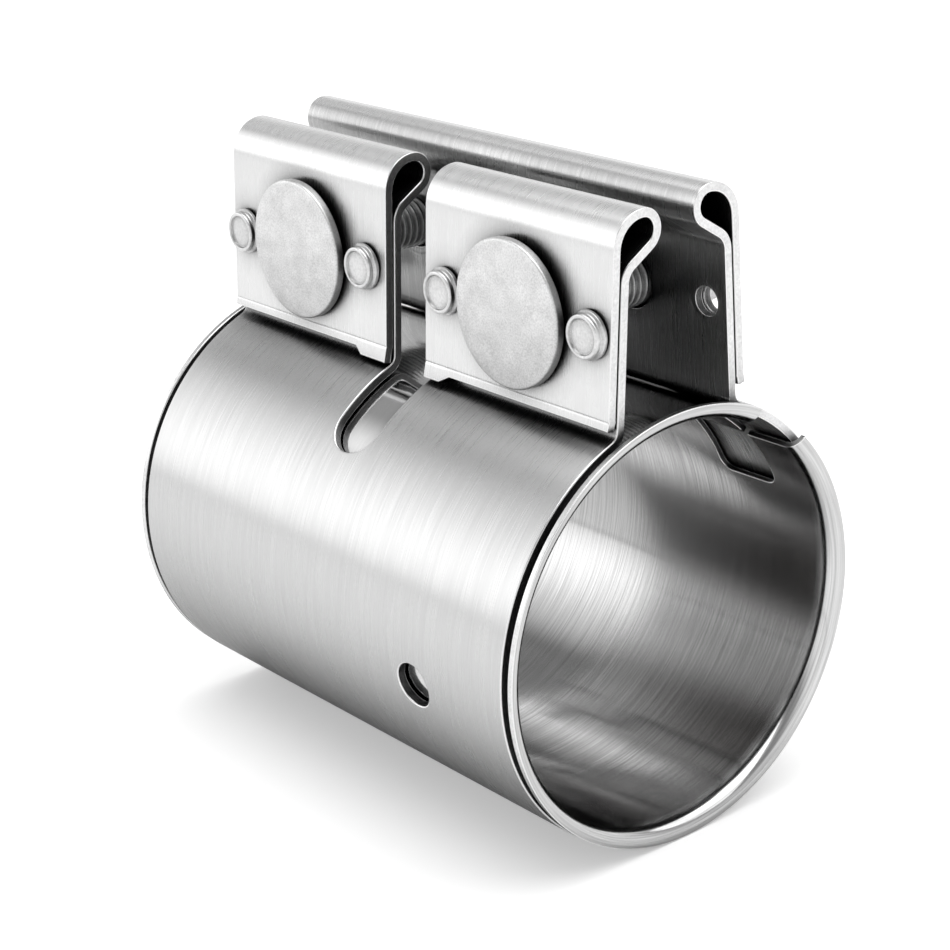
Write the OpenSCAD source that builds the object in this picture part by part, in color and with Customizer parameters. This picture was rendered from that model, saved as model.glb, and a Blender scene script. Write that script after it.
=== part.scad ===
// Sleeve connector for an exhaust pipe: a split inner sleeve inside a clamp band with two bolted lugs.
// X runs along the pipe, Z points from its axis to the lugs, Y points from the bolt heads to the nuts.
// The origin is the middle of the bore. All sizes are in millimetres.

/* [Clamp band] */
// Length of the band along the pipe
band_len = 90; // [70:1:140]
// Thickness of the band's sheet
band_t = 1.4; // [1:0.1:1.6]
// Diameter of the locating hole low on the band's front side
locating_hole_d = 7; // [4:0.5:9]
// Distance of the locating hole from the band's end
locating_hole_end = 20.4; // [8:0.2:28]
// Angle of the locating hole from the top, towards the bolt heads
locating_hole_angle = 99.5; // [80:0.5:140]

/* [Lugs] */
// Distance between the two lugs at the height of the bolts
lug_gap = 19.2; // [18:0.2:24]
// Lean of each lug towards the other
lug_lean = 3; // [0:0.5:4]
// Radius in the corner between a lug and the ring
foot_bend_r = 1.6; // [1:0.1:2.4]
// Gap between the two layers of a lug
layer_gap = 0.25; // [0.2:0.05:0.4]
// Height of the front lug's loop above the ring's top, at the middle of its round side
front_loop_h = 26.35; // [25.5:0.05:29]
// Height of the back lug's loop above the ring's top
back_loop_h = 27.55; // [25.5:0.05:30]
// How far a loop's round side stands in from the sheet it ends on
loop_reach = 3.2; // [2.8:0.1:3.4]
// Inner radius of a loop's round side
loop_inner_r = 1.85; // [1.4:0.05:2.2]
// Radius of the hollow bend below a loop
neck_r = 2.5; // [2:0.1:3]
// Turn of that bend
neck_turn = 55; // [45:1:60]
// Depth of the front flap's lower edge below the ring's top
front_flap_drop = 0.8; // [-1:0.1:1.2]
// Height of the back flap's lower edge above the ring's top
back_flap_h = 0.3; // [-1:0.1:2]
// Height of the strip along a flap's lower edge that is bent out
lip_h = 1.25; // [0.8:0.05:2]
// Turn of that strip
lip_turn = 10; // [4:1:14]
// How far the tab at a lobe's inner corner reaches below the front flap
tab_drop = 1.2; // [0.6:0.1:1.3]
// Length of the tab's lower edge
tab_len = 5.6; // [3:0.2:10]

/* [Slot] */
// Width of the slot that splits the front lug into two lobes
slot_w = 9.6; // [6:0.2:14]
// Angle from the top where the slot's round end is centred
slot_angle = 41; // [36:0.5:60]

/* [Inner sleeve] */
// Bore diameter as supplied
bore_d = 62.6; // [54:0.2:110]
// Gap between the sleeve and the band's ring
sleeve_gap = 0.3; // [0.1:0.05:0.5]
// Thickness of the sleeve's sheet
sleeve_t = 1; // [0.8:0.1:1.2]
// Distance inside the band's end at which the sleeve begins to flare
flare_lead = 0.4; // [0.2:0.05:0.6]
// Radius on the outside of a flared end
flare_r = 1.6; // [1.2:0.1:2]
// Angle from the top where the sleeve's joint begins
joint_start = 26.3; // [24:0.5:60]
// Angle that the open joint covers
joint_open = 19; // [10:0.5:24]
// Distance of each tongue from the band's end
tongue_end = 13.5; // [8:0.5:24]
// Width of a tongue
tongue_w = 10.6; // [6:0.2:16]
// Clearance between a tongue and the sides of its groove
tongue_clear = 0.4; // [0.2:0.1:1]
// Depth of a groove along the sleeve's curve
groove_depth = 12; // [8:0.5:16]
// Radius in a groove's corners
groove_corner_r = 2; // [0.5:0.1:3]

/* [Bolts] */
// Distance of a bolt beyond the middle of its lobe
bolt_shift = 0.45; // [-1:0.05:1]
// Height of the bolts above the ring's top
bolt_h = 12.4; // [11.4:0.1:15]
// Outer diameter of the bolt thread
bolt_d = 7.9; // [5.9:0.1:8]
// Length of a bolt under its head
bolt_len = 40; // [38:1:60]
// Diameter of a bolt head
head_d = 22; // [18:0.5:24]
// Thickness of a bolt head at its rim
head_rim = 1.5; // [1:0.1:2.4]
// Extra height of a bolt head at its crown
head_crown = 0.6; // [0.3:0.1:1.2]
// Length of the chamfer at a bolt's end
bolt_point = 1; // [0.4:0.1:2]
// Width of the square neck under a bolt head
neck_w = 8; // [7:0.1:10]
// Clearance round a square neck and round a bolt
hole_clear = 0.3; // [0.1:0.05:0.4]

/* [Rivets] */
// Gap between a bolt head and the rivet heads beside it
rivet_gap = 1.05; // [0.4:0.05:1.8]
// Diameter of a rivet's shank
rivet_d = 4; // [3:0.1:4.4]
// Diameter of a rivet's head
rivet_head_d = 7.2; // [6:0.1:7.6]
// Height of a rivet's head
rivet_head_h = 1.75; // [1.2:0.05:2.2]
// Chamfer round a rivet's head
rivet_edge = 0.45; // [0.1:0.05:0.6]
// Diameter of the dish in a rivet's head
rivet_dish_d = 4.5; // [2:0.1:4.6]
// Depth of that dish
rivet_dish_h = 0.25; // [0.1:0.05:0.4]
// Diameter of a rivet's closed end, inside the gap
rivet_tail_d = 6; // [5:0.1:7]
// Height of a rivet's closed end
rivet_tail_h = 0.8; // [0.5:0.1:1.4]
// Diameter of the empty rivet holes in the back lug
spare_hole_d = 4.4; // [3.4:0.1:5]

/* [Nuts] */
// Width of a nut across its flats
nut_flats = 13; // [12:0.5:15]
// Height of a nut
nut_h = 6.8; // [5:0.1:8]
// Outer diameter of a nut's captive washer
washer_d = 20; // [17:0.5:22]
// Thickness of that washer
washer_t = 1.8; // [1.2:0.1:2.4]
// Running clearance between thread and nut, on the radius
thread_clear = 0.05; // [0.02:0.01:0.08]

/* [Hidden] */
$fn = 96;
steel = [0.78, 0.78, 0.79];
dark_steel = [0.66, 0.66, 0.67];
zinc = [0.74, 0.75, 0.76];
cut = 0.5;            // how far a cutting shape runs past what it cuts
seat_gap = 0.05;      // gap between pieces that bear on each other
far = 3 * bore_d;     // longer than anything that is cut
hair = 0.02;          // a step too small to see
bend_step = 7.5;      // turn of one flat in a tight bend
lap_angle = 2;        // how far a lug's outline laps round into the ring
lap_taper = 0.1;      // how far inside the wall that lap ends
half_t = band_t / 2;

// The sleeve fills the ring but for a gap, and what stands on the ring counts from its top
sleeve_r = bore_d / 2;
bore_len = band_len - 2 * flare_lead;
band_r = sleeve_r + sleeve_t + sleeve_gap + band_t;
bolt_z = band_r + bolt_h;
bolt_x = (band_len + slot_w) / 4 + bolt_shift;
front_loop_z = band_r + front_loop_h;
back_loop_z = band_r + back_loop_h;
front_flap_z = band_r - front_flap_drop;
back_flap_z = band_r + back_flap_h;
locating_hole_x = band_len / 2 - locating_hole_end;

// Ring: radius of the sheet's middle line, and the same for the bend at a lug's foot
ring_r = band_r - half_t;
foot_r = foot_bend_r + half_t;

// A lug's middle line: along points up it, across points away from the gap, (y, z) of the front mirrored
along = [-sin(lug_lean), cos(lug_lean)];
across = [cos(lug_lean), sin(lug_lean)];
lug_at_bolt = [lug_gap / 2 + half_t / cos(lug_lean), bolt_z];

// The foot bend touches the ring and the lug's middle line
foot_from = lug_at_bolt + foot_r * across;
foot_b = foot_from * along;
foot_s = -foot_b + sqrt(foot_b * foot_b - foot_from * foot_from + (ring_r + foot_r) * (ring_r + foot_r));
foot_c = foot_from + foot_s * along;
foot_angle = atan2(foot_c[0], foot_c[1]);
foot_start = foot_c * ring_r / (ring_r + foot_r);
foot_turn = foot_angle + lug_lean - 90;

// The loop: middle radii of its bends and the straight between neck and loop
neck_mid_r = neck_r + half_t;
loop_mid_r = loop_inner_r + half_t;
flap_offset = band_t + layer_gap;
shoulder_mid_r = loop_reach + flap_offset;
neck_run = (loop_reach - neck_mid_r + (neck_mid_r + loop_mid_r) * cos(neck_turn)) / sin(neck_turn);
neck_rise = (neck_mid_r + loop_mid_r) * sin(neck_turn) + neck_run * cos(neck_turn);
lip_r = 2 * band_t;

// How far up a lug's middle line from its bolt a point lies, from its height and its place beside it
function up_lug(z, beside) = (z - bolt_z - beside * sin(lug_lean)) / cos(lug_lean);
function face_y(z) = lug_gap / 2 - (z - bolt_z) * tan(lug_lean);
flap_face = 2 * band_t + layer_gap;

// Where bolts, rivets and nuts bear on the leaning flaps
lean_drop = tan(lug_lean);
outer_y = face_y(bolt_z) + flap_face / cos(lug_lean);
head_y = outer_y + head_d / 2 * lean_drop + seat_gap;
washer_y = outer_y + washer_d / 2 * lean_drop + seat_gap;
nut_y = washer_y + washer_t + seat_gap;
rivet_offset = (head_d + rivet_head_d) / 2 + rivet_gap;
rivet_y = outer_y + rivet_head_d / 2 * lean_drop;
rivet_tail_y = face_y(bolt_z) - rivet_tail_d / 2 * lean_drop;
bolt_hole_d = bolt_d + 2 * hole_clear;

// Sleeve's joint
tongue_x = band_len / 2 - tongue_end;
groove_w = tongue_w + 2 * tongue_clear;
joint_end = joint_start + joint_open;
groove_angle = groove_depth / sleeve_r * 180 / PI;
corner_angle = groove_corner_r / sleeve_r * 180 / PI;

// Places along a bent sheet's middle line, each [across, up, heading].
// A move is [length], or [radius, turn to the left].
function stations(moves, at, i = 0) = i == len(moves) ? [at] :
    let (steps = [for (k = [0:step_count(moves[i])]) moved(moves[i], at, k / step_count(moves[i]))])
    concat([for (k = [0:len(steps) - 2]) steps[k]], stations(moves, steps[len(steps) - 1], i + 1));
function step_count(move) = len(move) == 1 ? 1 : max(2, ceil(abs(move[1]) / bend_step));
function moved(move, at, share) = len(move) == 1 ?
    [at[0] + share * move[0] * cos(at[2]), at[1] + share * move[0] * sin(at[2]), at[2]] :
    let (r = sign(move[1]) * move[0], heading = at[2] + share * move[1])
    [at[0] + r * (sin(heading) - sin(at[2])), at[1] - r * (cos(heading) - cos(at[2])), heading];

// One side of the sheet: the stations moved to their left by that distance
function side(path, out) = [for (p = path) [p[0] - out * sin(p[2]), p[1] + out * cos(p[2])]];
function reversed(list) = [for (k = [len(list) - 1:-1:0]) list[k]];

// A flat wedge about the origin from one angle to another, less than 170 degrees wide
module wedge(from, to) {
    polygon([[0, 0], for (k = [0:4]) let (a = from + (to - from) * k / 4) far * [cos(a), sin(a)]]);
}

// Turns a drawing of (distance from the gap, height) into a plate of length len, on the front side
module plate_front(len) {
    mirror([0, 1, 0]) plate_back(len) children();
}

// The same on the back side
module plate_back(len) {
    rotate([90, 0, 90]) linear_extrude(len, center = true) children();
}

// One lug's moves from its foot to its flap's lower edge
function lug_moves(loop_z, flap_z, lip) = let (
    loop_up = up_lug(loop_z, -loop_reach),
    flap_up = up_lug(flap_z, flap_offset),
    lip_up = lip_h * cos(lip_turn) + lip_r * sin(lip_turn)) [
    [foot_r, foot_turn],
    [loop_up - neck_rise - foot_s],
    [neck_mid_r, neck_turn],
    [neck_run],
    [loop_mid_r, -neck_turn - 90],
    [shoulder_mid_r, -90],
    [loop_up + loop_mid_r - shoulder_mid_r - flap_up - lip_up],
    [lip_r, lip_turn],
    [lip]
];

// A lug's path from where its foot leaves the ring
function lug_path(loop_z, flap_z, lip = lip_h) =
    stations(lug_moves(loop_z, flap_z, lip), [foot_start[0], foot_start[1], 180 - foot_angle]);

// A lug's outline, with a tapering end that laps into the ring's wall
module lug_outline(loop_z, flap_z) {
    path = lug_path(loop_z, flap_z);
    into = [sin(foot_angle + lap_angle), cos(foot_angle + lap_angle)];
    polygon(concat(side(path, half_t), reversed(side(path, -half_t)),
        [(ring_r + half_t - lap_taper) * into, (ring_r - half_t + lap_taper) * into]));
}

// The whole band seen along the pipe: back lug, ring, front lug
module band_outline() {
    difference() {
        circle(ring_r + half_t);
        circle(ring_r - half_t);
        wedge(90 - foot_angle + hair, 90 + foot_angle - hair);
    }
    lug_outline(back_loop_z, back_flap_z);
    mirror([1, 0]) lug_outline(front_loop_z, front_flap_z);
}

// The longer lip that the tabs are cut from, a hair thinner than the flap that it grows out of
module tab_strip() {
    path = lug_path(front_loop_z, front_flap_z, lip_h + tab_drop);
    plate_front(band_len) intersection() {
        polygon(concat(side(path, half_t - hair), reversed(side(path, hair - half_t))));
        translate([outer_y - band_t, 0]) square([far, front_flap_z + cut]);
    }
}

// A tab's face, seen from the front: straight along the slot, sloping at its outer end
module tab_face() {
    for (side = [-1, 1]) scale([side, 1])
        polygon([[slot_w / 2, front_flap_z - 2 * tab_drop], [slot_w / 2, front_flap_z + 2 * cut],
            [slot_w / 2 + tab_len + tab_drop + 2 * cut, front_flap_z + 2 * cut],
            [slot_w / 2 + tab_len - tab_drop, front_flap_z - 2 * tab_drop]]);
}

// The slot: straight sides up through the front lug, and a round end on the ring
module slot() {
    rotate([slot_angle, 0, 0]) cylinder(d = slot_w, h = far);
    plate_front(slot_w) wedge(90 - slot_angle, 90);
}

// Something at each bolt of one lug, or at each rivet place
module at_bolts() {
    for (x = [-bolt_x, bolt_x]) translate([x, 0, bolt_z]) children();
}
module at_rivets() {
    for (x = [-bolt_x, bolt_x], dx = [-rivet_offset, rivet_offset])
        translate([x + dx, 0, bolt_z]) children();
}

module clamp_band() {
    color(steel) difference() {
        union() {
            plate_back(band_len) band_outline();
            intersection() {
                tab_strip();
                rotate([90, 0, 0]) linear_extrude(far) tab_face();
            }
        }
        slot();
        at_bolts() {
            square_hole = neck_w + 2 * hole_clear;
            translate([-square_hole / 2, -far, -square_hole / 2]) cube([square_hole, far, square_hole]);
            rotate([-90, 0, 0]) cylinder(d = bolt_hole_d, h = far);
        }
        at_rivets() {
            rotate([90, 0, 0]) cylinder(d = rivet_d + 2 * seat_gap, h = far);
            rotate([-90, 0, 0]) cylinder(d = spare_hole_d, h = far);
        }
        rotate([locating_hole_angle, 0, 0]) translate([locating_hole_x, 0, 0])
            cylinder(d = locating_hole_d, h = far);
    }
}

// Half of the sleeve's wall, as (radius, distance from the middle), with its flared end
module sleeve_profile() {
    translate([sleeve_r, 0]) square([sleeve_t, bore_len / 2]);
    translate([sleeve_r + sleeve_t + flare_r, bore_len / 2]) intersection() {
        difference() {
            circle(flare_r + sleeve_t);
            circle(flare_r);
        }
        translate([-far, 0]) square([far, far]);
    }
}

// A block from one angle to another about the axis, between two places along X
module axis_wedge(from, to, x0, x1) {
    translate([(x0 + x1) / 2, 0, 0]) plate_back(x1 - x0) wedge(90 - to, 90 - from);
}

// The groove that a tongue closes into, with round corners at its end
module groove(x0, x1) {
    end = joint_end + groove_angle;
    axis_wedge(joint_end - 1, end - corner_angle, x0, x1);
    axis_wedge(joint_end, end, x0 + groove_corner_r, x1 - groove_corner_r);
    for (x = [x0 + groove_corner_r, x1 - groove_corner_r])
        translate([x, 0, 0]) rotate([-end + corner_angle, 0, 0]) cylinder(r = groove_corner_r, h = far);
}

module inner_sleeve() {
    x_end = bore_len / 2 + flare_r + 2 * sleeve_t;
    color(dark_steel) difference() {
        rotate([0, 90, 0]) {
            rotate_extrude($fn = 180) sleeve_profile();
            mirror([0, 0, 1]) rotate_extrude($fn = 180) sleeve_profile();
        }
        difference() {
            axis_wedge(joint_start, joint_end, -x_end, x_end);
            for (x = [-tongue_x, tongue_x])
                axis_wedge(joint_start - 1, joint_end + 1, x - tongue_w / 2, x + tongue_w / 2);
        }
        for (x = [-tongue_x, tongue_x]) groove(x - groove_w / 2, x + groove_w / 2);
    }
}

// A bolt with a square neck and a wide flat crowned head, its axis along Y and its head in front
module bolt() {
    crown_r = (head_d * head_d / 4 + head_crown * head_crown) / (2 * head_crown);
    color(zinc) translate([0, -head_y, 0]) rotate([-90, 0, 0]) {
        translate([0, 0, -head_rim]) cylinder(d = head_d, h = head_rim);
        intersection() {
            translate([0, 0, -head_rim - head_crown + crown_r]) sphere(crown_r);
            translate([0, 0, -head_rim - 2 * head_crown]) cylinder(d = head_d, h = 2 * head_crown + cut);
        }
        neck_h = head_y - face_y(bolt_z) + neck_w / 2 * lean_drop;
        translate([-neck_w / 2, -neck_w / 2, 0]) cube([neck_w, neck_w, neck_h]);
        cylinder(d = bolt_d, h = bolt_len - bolt_point);
        translate([0, 0, bolt_len - bolt_point])
            cylinder(d1 = bolt_d, d2 = bolt_d - 2 * bolt_point, h = bolt_point);
    }
}

// A rivet that holds the front lug's two layers together, with a shallow dish in its head
module rivet() {
    color(zinc) translate([0, -rivet_y, 0]) rotate([-90, 0, 0]) difference() {
        union() {
            translate([0, 0, rivet_edge - rivet_head_h])
                cylinder(d = rivet_head_d, h = rivet_head_h - rivet_edge);
            translate([0, 0, -rivet_head_h])
                cylinder(d1 = rivet_head_d - 2 * rivet_edge, d2 = rivet_head_d, h = rivet_edge);
            cylinder(d = rivet_d, h = rivet_y - rivet_tail_y);
            translate([0, 0, rivet_y - rivet_tail_y]) cylinder(d = rivet_tail_d, h = rivet_tail_h);
        }
        translate([0, 0, -rivet_head_h - cut]) cylinder(d = rivet_dish_d, h = rivet_dish_h + cut);
    }
}

// A flat washer that stays on its nut and bears on the back lug
module washer() {
    color(zinc) translate([0, washer_y, 0]) rotate([-90, 0, 0]) difference() {
        cylinder(d = washer_d, h = washer_t);
        translate([0, 0, -cut]) cylinder(d = bolt_hole_d, h = washer_t + 2 * cut);
    }
}

// A hexagon nut with chamfered corners
module nut() {
    corners = nut_flats / cos(30);
    chamfer = (corners - nut_flats) / 2;
    color(zinc) translate([0, nut_y, 0]) rotate([-90, 0, 0]) difference() {
        intersection() {
            cylinder(d = corners, h = nut_h, $fn = 6);
            rotate_extrude() polygon([[0, 0], [nut_flats / 2, 0], [nut_flats / 2 + 2 * chamfer, chamfer],
                [nut_flats / 2 + 2 * chamfer, nut_h - chamfer], [nut_flats / 2, nut_h], [0, nut_h]]);
        }
        translate([0, 0, -cut]) cylinder(d = bolt_d + 2 * thread_clear, h = nut_h + 2 * cut);
    }
}

module bolt_left() { translate([-bolt_x, 0, bolt_z]) bolt(); }
module bolt_right() { translate([bolt_x, 0, bolt_z]) bolt(); }
module rivet_left_outer() { translate([-bolt_x - rivet_offset, 0, bolt_z]) rivet(); }
module rivet_left_inner() { translate([-bolt_x + rivet_offset, 0, bolt_z]) rivet(); }
module rivet_right_inner() { translate([bolt_x - rivet_offset, 0, bolt_z]) rivet(); }
module rivet_right_outer() { translate([bolt_x + rivet_offset, 0, bolt_z]) rivet(); }
module washer_left() { translate([-bolt_x, 0, bolt_z]) washer(); }
module washer_right() { translate([bolt_x, 0, bolt_z]) washer(); }
module nut_left() { translate([-bolt_x, 0, bolt_z]) nut(); }
module nut_right() { translate([bolt_x, 0, bolt_z]) nut(); }

clamp_band();
inner_sleeve();
bolt_left();
bolt_right();
rivet_left_outer();
rivet_left_inner();
rivet_right_inner();
rivet_right_outer();
washer_left();
washer_right();
nut_left();
nut_right();
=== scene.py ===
"""Looks of a sleeve connector for exhaust pipes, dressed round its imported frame.

The band and the sleeve are sheet metal, so each is laid out flat, with its holes, and then carried
through its bends. The fasteners are turned skins. All sizes are in millimetres until a mesh is
made.
"""

import logging
import math
from abc import ABC, abstractmethod
from dataclasses import dataclass, field
from enum import Enum
from typing import Any

import bpy
import numpy as np
from mathutils import Matrix, Vector
from numpy.typing import NDArray


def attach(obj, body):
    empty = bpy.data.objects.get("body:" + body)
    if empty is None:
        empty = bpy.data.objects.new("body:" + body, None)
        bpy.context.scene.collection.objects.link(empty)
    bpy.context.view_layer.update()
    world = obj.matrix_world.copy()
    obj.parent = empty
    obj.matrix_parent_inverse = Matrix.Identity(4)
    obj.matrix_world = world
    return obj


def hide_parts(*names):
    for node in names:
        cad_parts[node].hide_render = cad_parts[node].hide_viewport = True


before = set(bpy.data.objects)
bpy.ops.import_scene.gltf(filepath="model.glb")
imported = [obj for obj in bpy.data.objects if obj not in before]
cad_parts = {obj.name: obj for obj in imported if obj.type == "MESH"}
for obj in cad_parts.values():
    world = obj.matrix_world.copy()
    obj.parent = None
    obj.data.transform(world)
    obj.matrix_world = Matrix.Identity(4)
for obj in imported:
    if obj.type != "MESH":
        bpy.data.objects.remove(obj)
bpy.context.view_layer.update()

LOG = logging.getLogger("connector")
Array = NDArray[np.float64]
Ints = NDArray[np.int64]
Tree = bpy.types.NodeTree
Socket = bpy.types.NodeSocket

MM = 0.001
WHITE = "#FFFFFF"
SMOOTH = "SMOOTHSTEP"
# Layout numbers are kept to this many decimals of a millimetre, so that equal ones meet.
DECIMALS = 4
SLACK = 1e-6
# A cut-out that is open at an edge of its sheet reaches this far past it.
BEYOND = 1000.0


class Side(Enum):
    """Which end of the pipes, or which lug, a piece belongs to: the sign of its place."""

    LOW = -1
    HIGH = 1


# ---------------------------------------------------------------- materials


def linear(code: str) -> tuple[float, float, float, float]:
    """Turns an sRGB hex colour into linear light.

    Args:
        code: Six hex digits after a number sign.

    Returns:
        Linear red, green and blue, and alpha 1.
    """
    parts = [int(code[i:i + 2], 16) / 255 for i in (1, 3, 5)]
    red, green, blue = (c / 12.92 if c <= 0.04045 else ((c + 0.055) / 1.055) ** 2.4 for c in parts)
    return red, green, blue, 1.0


def add_node(
    tree: Tree,
    kind: str,
    settings: dict[str, Any] | None = None,
    values: dict[str | int, Any] | None = None,
) -> bpy.types.Node:
    """Adds a node and sets it up.

    Args:
        tree: The node tree that the node goes into.
        kind: The node's type name.
        settings: Its own settings by name.
        values: Its inputs by name or place: an output is linked, anything else is set as the value.

    Returns:
        The new node.
    """
    node = tree.nodes.new(kind)
    for name, value in (settings or {}).items():
        setattr(node, name, value)
    for key, value in (values or {}).items():
        if isinstance(value, Socket):
            tree.links.new(value, node.inputs[key])
        else:
            node.inputs[key].default_value = value
    return node


def blank_tree(owner: bpy.types.Material | bpy.types.World) -> Tree:
    """Gives a new material or world an empty node tree.

    Args:
        owner: The material or world.

    Returns:
        Its tree.
    """
    owner.use_nodes = True
    owner.node_tree.nodes.clear()
    return owner.node_tree


def calculate(tree: Tree, operation: str, *values: Socket | float, clamp: bool = False) -> Socket:
    """Adds a sum of one kind, held from 0 to 1 if it is clamped."""
    settings = {"operation": operation, "use_clamp": clamp}
    return add_node(tree, "ShaderNodeMath", settings, dict(enumerate(values))).outputs[0]


def ramp(tree: Tree, *values: Socket | float, kind: str = "LINEAR") -> Socket:
    """Carries a value from one span to another, or to 0 and 1, and holds it at the ends."""
    settings = {"interpolation_type": kind}
    return add_node(tree, "ShaderNodeMapRange", settings, dict(enumerate(values))).outputs[0]


def blend(tree: Tree, share: Socket, first: Any, second: Any, mode: str = "MIX") -> Socket:
    """Blends a share of the second colour into the first."""
    settings = {"data_type": "RGBA", "blend_type": mode}
    return add_node(tree, "ShaderNodeMix", settings, {0: share, 6: first, 7: second}).outputs[2]


def noise(tree: Tree, vector: Socket, scale: float, detail: float, rough: float = 0.5) -> Socket:
    """Adds noise with so many features in a unit of the coordinates."""
    values = {"Vector": vector, "Scale": scale, "Detail": detail, "Roughness": rough}
    return add_node(tree, "ShaderNodeTexNoise", values=values).outputs[0]


def bump(tree: Tree, height: Socket, depth: float, share: float = 1.0, **under: Socket) -> Socket:
    """Tilts the normal by a height in which 1 stands for depth millimetres."""
    values = {"Height": height, "Distance": depth * MM, "Strength": share, **under}
    return add_node(tree, "ShaderNodeBump", values=values).outputs[0]


def object_place(tree: Tree) -> tuple[Socket, ...]:
    """Gives Object coordinates, whole and as x, y and z."""
    whole = add_node(tree, "ShaderNodeTexCoord").outputs["Object"]
    return whole, *add_node(tree, "ShaderNodeSeparateXYZ", values={0: whole}).outputs


class Finish(ABC):
    """A surface finish that makes its own material from the shader that a subclass builds."""

    name: str

    @abstractmethod
    def shader(self, tree: Tree) -> Socket:
        """Builds the shader in a tree and gives its output."""

    def make(self) -> bpy.types.Material:
        """Makes the material from its shader.

        Returns:
            The material.
        """
        material = bpy.data.materials.new(self.name)
        tree = blank_tree(material)
        add_node(tree, "ShaderNodeOutputMaterial", values={0: self.shader(tree)})
        return material


@dataclass(frozen=True)
class Metal(Finish):
    """A metal of two mixed greys, with painted shade in its crevices and where other parts close
    in."""

    name: str = "zinc_plated_steel"
    colour: str = "#FCFCFC"
    dark: str = "#CECECE"
    roughness: float = 0.32
    spread: float = 0.1
    # Painted shade in crevices: its dark colour, its reach and its two powers.
    painted_shade: str = "#141415"
    shade_reach: float = 6.0
    shade_powers: tuple[float, float] = (1.0, 1.7)

    # All walls count this much further off than the piece's own.
    FAR = 1.4

    def crevice_shaded(self, tree: Tree, unshaded: Socket) -> Socket:
        """Paints shade into the metal's colour in crevices and where other parts close in.

        How unshaded a point is comes from the share of its surroundings that the piece itself
        leaves open within reach, and from the share that everything leaves open a little further
        off: both are raised to a power and multiplied.

        Args:
            tree: The material's tree.
            unshaded: The metal's colour before the painted shade.

        Returns:
            The colour with the painted shade.
        """
        shares = []
        for own, reach, power in zip((True, False), (1.0, self.FAR), self.shade_powers):
            walls = add_node(tree, "ShaderNodeAmbientOcclusion", {"samples": 5, "only_local": own},
                             {"Distance": self.shade_reach * reach * MM})
            shares.append(calculate(tree, "POWER", walls.outputs["AO"], power))
        # Painted shade: the colour goes to the dark shade colour where little round it is open.
        return blend(tree, calculate(tree, "MULTIPLY", *shares), linear(self.painted_shade), unshaded)

    def metal(self, tree: Tree, colour: Socket, rough: Socket, normal: Socket,
              **more: Any) -> Socket:
        """Builds the metal's shader.

        Args:
            tree: The material's tree.
            colour: Its colour.
            rough: Its roughness.
            normal: Its normal.
            **more: Further inputs, named with underscores for spaces.

        Returns:
            The shader's output.
        """
        values = {"Base Color": colour, "Metallic": 1.0, "Roughness": rough, "Normal": normal}
        values |= {name.replace("_", " "): value for name, value in more.items()}
        return add_node(tree, "ShaderNodeBsdfPrincipled", values=values).outputs[0]


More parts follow.
